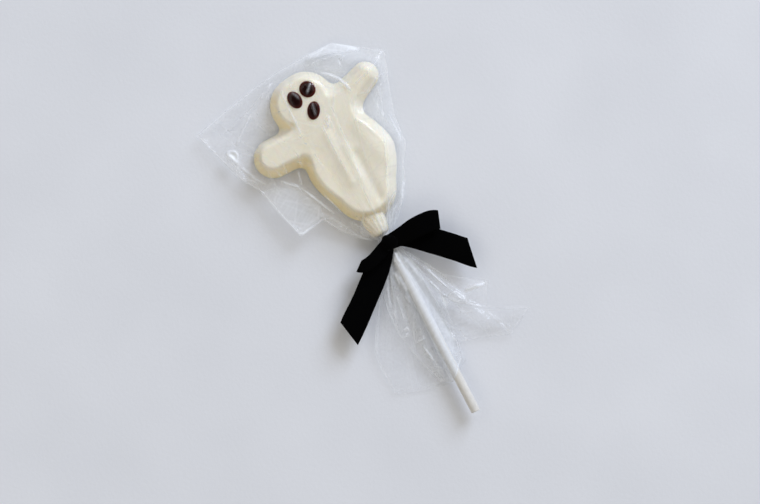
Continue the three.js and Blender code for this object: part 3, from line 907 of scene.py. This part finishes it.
# %% Creases and white patches that show in the bag's upper part
POUCH_CREASES = (  # points, height, half width, whiteness
    # bright band under the top edge, painted highlights of the window
    (((2.7, 37.8), (8.2, 37.4), (14.2, 36.6), (20.2, 35)), 0.8, 1.2, 0.25),
    (((6.2, 41.4), (12.2, 41.2), (17.2, 41.6)), 0.5, 1.8, 0.8),
    (((18.2, 41.5), (22.2, 38), (26.7, 33.5)), 0.9, 2.0, 0.9),
    (((16.7, 34.8), (17.7, 30.5)), -0.6, 1, 0),
    # arc from the head to the shoulder, a painted highlight
    (((7.2, 32.2), (10.2, 29.8), (13.2, 26), (14.7, 22.5), (15.6, 19)), 0.7, 1.2, 0.9),
    # over the face
    (((-10.8, 34), (-11, 28), (-11.3, 22), (-11.8, 11)), 0.4, 0.9, 0.5),
    (((-6.6, 33.8), (-5.2, 30.6)), 0.4, 0.7, 0.35),
    (((-3.7, 33.5), (-5, 30.6)), 0.3, 0.7, 0.2),
    (((-1.6, 26.6), (1.9, 30.2)), 0.3, 1.0, 0.34),
    (((-7.2, 30.6), (-5.5, 26)), 0.3, 1.0, 0.2),
    (((-2.6, 16.6), (-1.4, 22.6)), 0.3, 0.9, 0.2),
    # down the front
    (((-2, 15), (-2.2, 5), (-1.9, -13)), 0.35, 0.8, 0.3),
    (((2.2, 0), (2.5, -14)), 0.3, 0.8, 0.15),
    (((-0.4, 14), (2.2, 13.8), (0.2, 10.5), (-0.4, 14)), 0.35, 0.9, 0.4),
    (((11.2, 8), (14.2, 4), (16.6, -3)), 0.4, 1.6, 0.2),
    # left corner, whose white lines are partly painted highlights
    (((-43.8, 20.6), (-41.3, 20), (-39.4, 18.6)), 0.9, 1.3, 0.7),
    (((-43.8, 20.5), (-42.4, 16.5), (-41.4, 13.6)), 0.9, 1.3, 0.7),
    (((-39.4, 18.6), (-41.4, 13.6)), 0.6, 1.2, 0.6),
    (((-44.3, 20), (-43.3, 13), (-42.6, 9)), 0.6, 1, 0.3),
    (((-41.4, 13.5), (-37.8, 5), (-35, 0.6)), 0.8, 1.1, 0.5),
    (((-42.8, 9), (-39.8, 5.6), (-37.2, 2.4)), 0.6, 1, 0.35),
    (((-42, 24.6), (-41.2, 27), (-32.8, 30), (-25.8, 32), (-18.3, 34.6)), -0.6, 1.1, 0),
    (((-41.2, 28), (-32.8, 30.8), (-25.8, 32.8), (-15.3, 36.6)), 0.5, 0.9, 0.2),
    (((-39.3, 20.5), (-33.8, 25), (-26.3, 30.6)), 0.7, 1, 0.4),
    (((-15.8, 36.8), (-12.8, 38.2)), 0.6, 1, 0.5),
    # flap and lower left; the flap's bright border is partly a painted highlight
    (((-37.4, -1.5), (-35.2, -12), (-32.4, -23.6), (-30.3, -24.8), (-23.2, -23.4)), 0.2, 1.2, 0.9),
    (((-35, -12), (-32.1, -22.6), (-29.8, -23.2), (-17.8, -21.2)), 0.2, 0.6, 0.25),
    (((-28.8, -0.8), (-24.8, -5), (-22, -7.4)), 0.6, 0.9, 0.5),
    (((-22, -7.4), (-19.2, -14), (-14.4, -24.4)), 0.7, 0.9, 0.55),
    (((-20, -0.6), (-21.6, -6.6)), 0.5, 0.9, 0.35),
    (((-21, -9), (-18, -16), (-15.6, -21)), -0.4, 0.8, 0),
    (((-15, -14), (-13.2, -19.6), (-11.4, -25.4)), 0.4, 0.8, 0.45),
    (((-22.8, -24), (-17.8, -30), (-13.3, -36), (-8.8, -40.6)), 0.8, 1.3, 0.35),
    (((-19.3, -21.8), (-15.6, -26), (-9.8, -37)), 0.6, 1.1, 0.25),
    # lower right
    (((18.6, -24), (16, -27), (14, -30.4)), 0.7, 1, 0.55),
    (((13.2, -26.6), (7.6, -30.4), (2.2, -39)), 0.6, 1, 0.35),
    (((11.2, -31.6), (7.2, -35), (4.2, -38.6)), 0.7, 1, 0.4),
    # right corner and side
    (((17.2, 20.6), (23.2, 22.4), (28.2, 24), (34.8, 28)), 0.5, 0.9, 0.3),
    (((16.6, 17.2), (21.2, 15.6), (27.7, 19.5), (32.2, 20.4)), 0.4, 0.9, 0.2),
    (((21.6, 15), (22.8, 5), (23.6, -3)), 0.5, 1, 0.15),
    (((26.8, 17), (24.8, 11)), 0.4, 0.7, 0.25),
    (((25.4, 4), (25.4, -6), (24.4, -12)), 0.5, 1, 0.2),
)
POUCH_PATCHES = (  # corners, whiteness, soft edge
    # bright band along the top, a painted reflection of the window
    (((6.2, 42.5), (17.2, 43), (21.2, 40.5), (27.2, 33.5), (23.2, 34.5), (16.2, 37.4), (6.2, 40)), 0.5, 1.2),
    # above the raised arm
    (((8.2, 36.5), (21.2, 34.5), (28.2, 32), (25.2, 30), (17.2, 28.5), (12.2, 31)), 0.1, 1.5),
    # doubled film of the flap
    (((-37.3, -1), (-32.8, -1.5), (-26.8, -4.5), (-22.3, -8), (-17.8, -18), (-19.3, -22.5), (-30.8, -25),
      (-33.8, -19)), 0.24, 1.5),
    (((-32.8, -3), (-28.8, -3), (-22.8, -12), (-24.8, -13)), 0.14, 1.5),
    # gathers beside the collar
    (((-9, -36), (-3, -43.5), (4, -43), (10, -36), (6, -31), (-5, -31)), 0.16, 4),
    # bent corner, a painted highlight
    (((-43.8, 20.5), (-39.8, 19.8), (-39.0, 18), (-41.4, 13.4)), 0.9, 0.5),
    # film that clings beside the head
    (((-27.8, 32), (-18.8, 33), (-17.3, 26), (-19.8, 20), (-26.8, 22)), 0.08, 2),
)
# painted shade: the film is kept clear over the gap in shade between the left arm, the body and the flap, so
# that the shade shows darker there
SHADED_GAP = (
    (-30, 1, 0), (-15, 1.5, 0), (-13.5, -4, 0), (-12, -15, 0), (-8, -30, 0), (-12, -31, 0), (-16.5, -22, 0),
    (-20, -9, 0), (-25, -4, 0),
)


# %% The same below the tie
SKIRT_CREASES = (  # points, height, half width, whiteness
    # gathers under the knot, whose white is partly painted glints
    (((-1.4, -49), (0.8, -50.5), (-0.8, -53), (1.2, -55)), 0.7, 1.6, 0.95),
    (((-0.2, -48.5), (-0.4, -57)), 0.6, 1.4, 0.85),
    (((1.8, -49), (2.2, -60)), 0.5, 1, 0.3),
    (((-3.4, -57.5), (-4, -63.5)), 0.7, 1.1, 0.7),
    (((-2.8, -60), (-2.4, -67)), 0.6, 1.2, 0.45),
    # crumpled strip left of the stick
    (((-5.4, -56), (-4.4, -68), (-4, -80)), -0.5, 1.1, 0),
    (((-4.2, -68), (-3.8, -72)), 0.6, 0.8, 0.4),
    (((-8.6, -60), (-11.4, -68), (-12.2, -76)), 0.5, 1, 0.3),
    (((-11.2, -60.5), (-13.4, -70), (-13.8, -80)), 0.5, 0.9, 0.3),
    (((-7.2, -66), (-9.4, -78)), 0.4, 0.9, 0.2),
    (((-12, -81.2), (-9.8, -80.6), (-9.4, -82.4)), 0.5, 0.7, 0.5),
    (((-12.2, -83.6), (-10, -82.8)), 0.5, 0.7, 0.45),
    (((-8.4, -88.2), (-4.8, -88.2)), 0.5, 0.7, 0.6),
    (((-7.2, -90.6), (-6.7, -94), (-5.9, -98.6)), 0.7, 0.8, 0.8),
    (((-11, -88), (-9.8, -97), (-7.4, -105)), -0.4, 1, 0),
    (((-5.6, -100), (-4.8, -104)), 0.4, 0.8, 0.3),
    # lower hem
    (((-2.5, -109.6), (1.6, -106), (4.8, -102.8)), 0.6, 0.9, 0.7),
    (((5.2, -103.4), (6.6, -103.4)), 0.5, 1.3, 0.6),
    (((1.2, -101.4), (3.6, -97)), 0.3, 0.8, 0.3),
    # right of the stick
    (((2.1, -52), (1.9, -80), (2.2, -100)), 0.5, 1, 0.25),
    (((5.8, -56), (6.4, -75), (6.2, -95)), 0.4, 1, 0.12),
    (((7.2, -66), (9.6, -72), (10.1, -75)), 0.5, 0.9, 0.4),
    # painted glints on a short fold
    (((10.1, -75), (9.6, -80.4)), 0.8, 1.3, 0.8),
    (((10.8, -75.6), (10.8, -80)), 0.8, 1.2, 0.7),
    # fold to the right
    (((9.5, -62), (11.8, -69), (14.2, -74.6)), 0.7, 1.1, 0.5),
    (((8.2, -56.6), (11.6, -64), (16.2, -75)), -0.9, 1, 0),
    (((9, -57), (12.4, -64), (16.8, -75)), 0.6, 0.8, 0.25),
    (((11.2, -77.2), (13.6, -76.2), (15.8, -76.4), (17.8, -79.6), (18.1, -83)), 0.7, 0.9, 0.6),
    (((11.2, -77.2), (14.2, -80.6), (17.8, -83.4)), 0.6, 0.9, 0.5),
    (((14.6, -77), (19.2, -84.4), (24.2, -88.2)), 0.6, 0.9, 0.35),
    # a painted highlight along a long fold
    (((18.8, -78), (24.2, -78.3), (29.2, -79.2)), 0.9, 1.8, 0.95),
    (((23.2, -89.4), (26.6, -96), (28.2, -103)), 0.25, 0.9, 0.15),
    (((24.2, -90), (25.6, -96), (27.4, -100)), 0.25, 0.8, 0.2),
    (((4.2, -48.5), (12.2, -56), (16.2, -66)), 0.4, 1, 0.15),
    (((11.2, -83), (16.2, -87), (19.2, -87.6)), 0.3, 0.8, 0.2),
)
SKIRT_PATCHES = (  # corners, whiteness, soft edge
    # film folded over on itself; the two small patches are partly painted highlights
    (((2, -52), (6.2, -56), (6.6, -95), (2.2, -100)), 0.14, 1.2),
    (((-1.6, -49), (2, -50), (2.4, -106), (-2.4, -110)), 0.42, 1.2),
    (((-4.3, -57), (-0.8, -57), (-0.8, -66), (-3.8, -66)), 0.25, 1),
    (((11.2, -77), (15.2, -76), (17.8, -80), (14.2, -81)), 0.22, 0.8),
)


# %% [markdown]
# Film in relief
#
# Three reliefs go on the relaxed skin: creases, straight pleats out of the tie, and facets
# between random folds. A fixed seed keeps the random ones alike in every run.

# %% Helpers for creases
def along_line(x, y, points):
    """Distance from a line through points, and the share of its length at the nearest point."""
    nearest = np.full(np.shape(x), np.inf)
    share = np.zeros(np.shape(x))
    lengths = [math.dist(a, b) for a, b in zip(points, points[1:])]
    begun = 0.0
    for start, end, length in zip(points, points[1:], lengths):
        away, along = from_line(x, y, start, end)
        share = np.where(away < nearest, (begun + along * length) / sum(lengths), share)
        nearest = np.minimum(nearest, away)
        begun += length
    return nearest, share


def creased(x, y, creases, patches):
    """Height and whiteness that creases, doubled film and painted highlights add at each point."""
    height = np.zeros(np.shape(x))
    white = np.zeros(np.shape(x))
    for points, rise, width, whiteness in creases:
        away, share = along_line(x, y, points)
        fade = np.minimum(1, 5 * np.minimum(share, 1 - share) + 0.15)
        height += rise * fade * np.maximum(1 - away / width, 0) ** 1.2
        white = np.maximum(white, whiteness * fade * np.maximum(1 - away / (0.7 * width), 0))
    for corners, whiteness, soft in patches:
        inside = -polygon(x, y, [(*corner, 0) for corner in corners])[0]
        white = np.maximum(white, whiteness * smooth_step(inside, -soft / 2, soft))
    return height, white


def pleats(x, y, seed, count, reach):
    """Straight sharp pleats that run out of the tie, as heights between -1 and 1 and whiteness."""
    draw = np.random.default_rng(seed)
    turn = np.arctan2(x, np.abs(y - TIE_Y) + 3)
    knots = np.linspace(-1.3, 1.3, count) + draw.uniform(-0.4, 0.4, count) * 2.6 / count
    values = draw.uniform(0.3, 1.0, count) * np.where(np.arange(count) % 2, 1, -1)
    away = np.hypot(x, y - TIE_Y)
    fade = smooth_step(away, 2, 8) * (1 - smooth_step(away, reach * 0.3, reach))
    white = np.zeros(np.shape(x))
    for knot_turn, strength in zip(knots, draw.uniform(0, 1, count) ** 3):
        white = np.maximum(white, strength * np.maximum(1 - np.abs(turn - knot_turn) * away / 0.45, 0))
    return np.interp(turn, knots, values) * fade, white * fade


def crumple(x, y, seed, count, length):
    """Flat facets of film between random straight folds, and the folds' whiteness."""
    draw = np.random.default_rng(seed)
    height = np.zeros(np.shape(x))
    white = np.zeros(np.shape(x))
    for _ in range(count):
        angle = draw.uniform(0, math.pi)
        shift = draw.uniform(0, length)
        size = length * draw.uniform(0.6, 1.6)
        phase = (x * math.cos(angle) + y * math.sin(angle) + shift) / size % 1
        height += (np.abs(phase - 0.5) * 4 - 1) * size / length
        from_fold = np.minimum(np.minimum(phase, 1 - phase), np.abs(phase - 0.5)) * size
        along = (y * math.cos(angle) - x * math.sin(angle)) / length
        strength = np.maximum(np.sin(2.3 * along + 3 * shift) * np.sin(1.1 * along + size), 0)
        white = np.maximum(white, strength * np.maximum(1 - from_fold / 0.6, 0))
    return height / count, white


# %% Front and back film of the pouch
FILM = clear_film()
FILM_CELL = 0.45
CONTACT = 0.15  # gap between the film and what it lies on
LOWEST = 0.2
EDGE_LINE = 0.6  # width of the white line along the film's edge
FACE_VEIL = 0.002  # whiteness of the clean film over the eyes and mouth
VEIL = 0.07  # what the rest of the film has more


def less_white_in_shade(x, y):
    """How much whiteness is left: all of it, but little over the gap in shade, so that the shade shows
    darker.
    """
    return 1 - 0.75 * smooth_step(-polygon(x, y, SHADED_GAP)[0], -0.8, 1.6)


def pouch_front():
    bm = grid_cut_to(pouch_distance, POUCH_BOX, FILM_CELL)
    at = places(bm)
    x, y = at[:, 0], at[:, 1]
    inside = -pouch_distance(x, y)
    lowest = np.maximum(contents_top(x, y), LOWEST) + CONTACT
    height, white = creased(x, y, POUCH_CREASES, POUCH_PATCHES)
    gathers, gather_white = pleats(x, y, 5, 34, 30)
    free = smooth_step(inside, 0, 4)
    room = smooth_step(sampled(FRONT_SKIN, x, y) - lowest, 0.3, 3)
    facets, fold_white = crumple(x, y, 5, 7, 17)
    long_white = pleats(x, y, 31, 56, 170)[1]
    fine_white = crumple(x, y, 21, 12, 14)[1]
    folds = height + 0.7 * gathers + (0.15 + 1.3 * room) * facets
    at[:, 2] = np.maximum(sampled(FRONT_SKIN, x, y) + free * folds, lowest)
    move_points(bm, at)
    seam = 0.18 * np.maximum(1 - inside / EDGE_LINE, 0)
    from_eyes = np.min([np.hypot(x - c[0], y - c[1]) for c, _, _ in OVALS.values()], axis=0)
    veil = FACE_VEIL + VEIL * smooth_step(from_eyes, 3.8, 6.5)
    streaks = 0.3 * gather_white + 0.25 * long_white + 0.18 * fold_white + 0.07 * fine_white
    streaks *= smooth_step(from_eyes, 3.5, 6)
    # the white of creases and patches also holds painted highlights
    haze_and_painted_highlight = (veil + streaks) * less_white_in_shade(x, y) + white + seam
    finished("film_front", bm, FILM, "bag", {"haze_and_painted_highlight": haze_and_painted_highlight})


def pouch_back():
    bm = grid_cut_to(pouch_distance, POUCH_BOX, FILM_CELL)
    at = places(bm)
    x, y = at[:, 0], at[:, 1]
    inside = -pouch_distance(x, y)
    facets, fold_white = crumple(x, y, 8, 6, 15)
    folds = 0.5 * smooth_step(ghost_distance(x, y), 1, 5) * facets
    at[:, 2] = np.maximum(sampled(BACK_SKIN, x, y) + smooth_step(inside, 0, 4) * folds, LOWEST)
    move_points(bm, at)
    seam = 0.15 * np.maximum(1 - inside / EDGE_LINE, 0)
    haze_and_painted_highlight = (VEIL + 0.12 * fold_white) * less_white_in_shade(x, y) + seam
    finished("film_back", bm, FILM, "bag", {"haze_and_painted_highlight": haze_and_painted_highlight})


pouch_front()
pouch_back()

# %% [markdown]
# Skirt of the bag
#
# Below the tie the film fans out again. The front and the back of the bag lie apart here: a wide
# pleated fan on the left, a narrow strip that is crumpled round the stick, and a fold that is
# turned over to the right and ends in a loose square corner.

# %% Outlines of the skirt's layers, with the height of their edges
SKIRT_BACK = [
    (-3.0, -45, 4.0), (3.0, -45, 4.0), (5, -60, 3.0), (9, -80, 2.0), (8.2, -94, 1.5),
    (6.5, -104.5, 1.0), (-2.8, -110.6, 1.0), (-14, -109, 1.0), (-27, -104, 1.0),
    (-27.6, -92, 1.5), (-26.6, -84, 2.0), (-22, -75, 2.5), (-9, -58, 3.5),
]
SKIRT_LEFT = [
    (-3.0, -45, 5.0), (1.0, -45, 6.0), (-2, -62, 4.5), (-5, -84, 3.5), (-6, -108.4, 2.0), (-14, -107.4, 2.5),
    (-26.4, -102.6, 2.5), (-27.2, -92, 3.0), (-26.4, -84, 3.5), (-21.6, -75, 4.0), (-9, -58, 5.0),
]
SKIRT_FRONT = [
    (-2.8, -45, 6.5), (3.2, -45, 7.2), (6.8, -60, 6.5), (10.2, -75, 5.5), (8.2, -90, 4.5),
    (5.6, -102.5, 4.0), (-2.8, -110.4, 3.0), (-7.3, -108, 2.5), (-11.2, -97, 3.5),
    (-14, -82, 4.5), (-13.4, -70, 5.0), (-10.8, -60, 5.5), (-5.8, -52, 6.0),
]
SKIRT_RIGHT = [
    (0.6, -45, 6.5), (3.0, -45, 6.5), (5, -50.5, 6.0), (15, -68, 6.0), (30.4, -78.6, 7.5), (24.8, -88, 5.0),
    (41, -97, 4.0), (28.6, -103.6, 3.0), (19, -100, 1.5), (9.4, -97, 1.5), (2.4, -92, 2.0), (1.4, -70, 4.0),
]
SKIRT_CORNER = [(23.6, -89.6, 5.6), (40.4, -96.8, 4.6), (28.6, -103.2, 3.8), (24.6, -93.5, 4.6)]
SKIRT_BOX = (-32, -113, 46, -42)


def skirt_layer(name, outline, seed, over_stick, creases, patches, veil):
    """One layer of the skirt: its edge has its own height, and pleats run across it from the tie."""
    bm = grid_cut_to(lambda x, y: polygon(x, y, outline)[0], SKIRT_BOX, FILM_CELL)
    at = places(bm)
    x, y = at[:, 0], at[:, 1]
    outside, edge = polygon(x, y, outline)
    folds, fold_white = pleats(x, y, seed, 30, 150)
    height, white = creased(x, y, creases, patches)
    below = TIE_Y - y
    facets, facet_white = crumple(x, y, seed, 7, 16)
    facets *= smooth_step(below, 6, 30)
    fine_white = crumple(x, y, seed + 20, 16, 9)[1]
    z = edge * 0.9 + smooth_step(-outside, 0, 3) * (height + 0.9 * folds + 0.6 * facets)
    lowest = stick_top(x, y) + CONTACT if over_stick else LOWEST
    at[:, 2] = np.maximum(z, np.maximum(lowest, LOWEST))
    move_points(bm, at)
    seam = 0.14 * np.maximum(1 + outside / EDGE_LINE, 0)
    near_stick = 0.2 * smooth_step(-np.abs(x + 2), -12, -3)
    streaks = (0.3 * fold_white + 0.12 * facet_white + 0.1 * fine_white) * min(1, veil / 0.04)
    # the white of creases and patches also holds painted highlights
    haze_and_painted_highlight = veil + white + streaks + near_stick * over_stick + seam
    finished(name, bm, FILM, "bag", {"haze_and_painted_highlight": haze_and_painted_highlight})


skirt_layer("film_skirt_back", SKIRT_BACK, 12, False, (), (), veil=0.015)
skirt_layer("film_skirt_left", SKIRT_LEFT, 11, False, (), (), veil=0.02)
skirt_layer("film_skirt_front", SKIRT_FRONT, 14, True, SKIRT_CREASES, SKIRT_PATCHES, veil=0.06)
skirt_layer("film_skirt_right", SKIRT_RIGHT, 13, True, SKIRT_CREASES, SKIRT_PATCHES, veil=0.05)
skirt_layer("film_skirt_corner", SKIRT_CORNER, 15, False, (), (), veil=0.0)
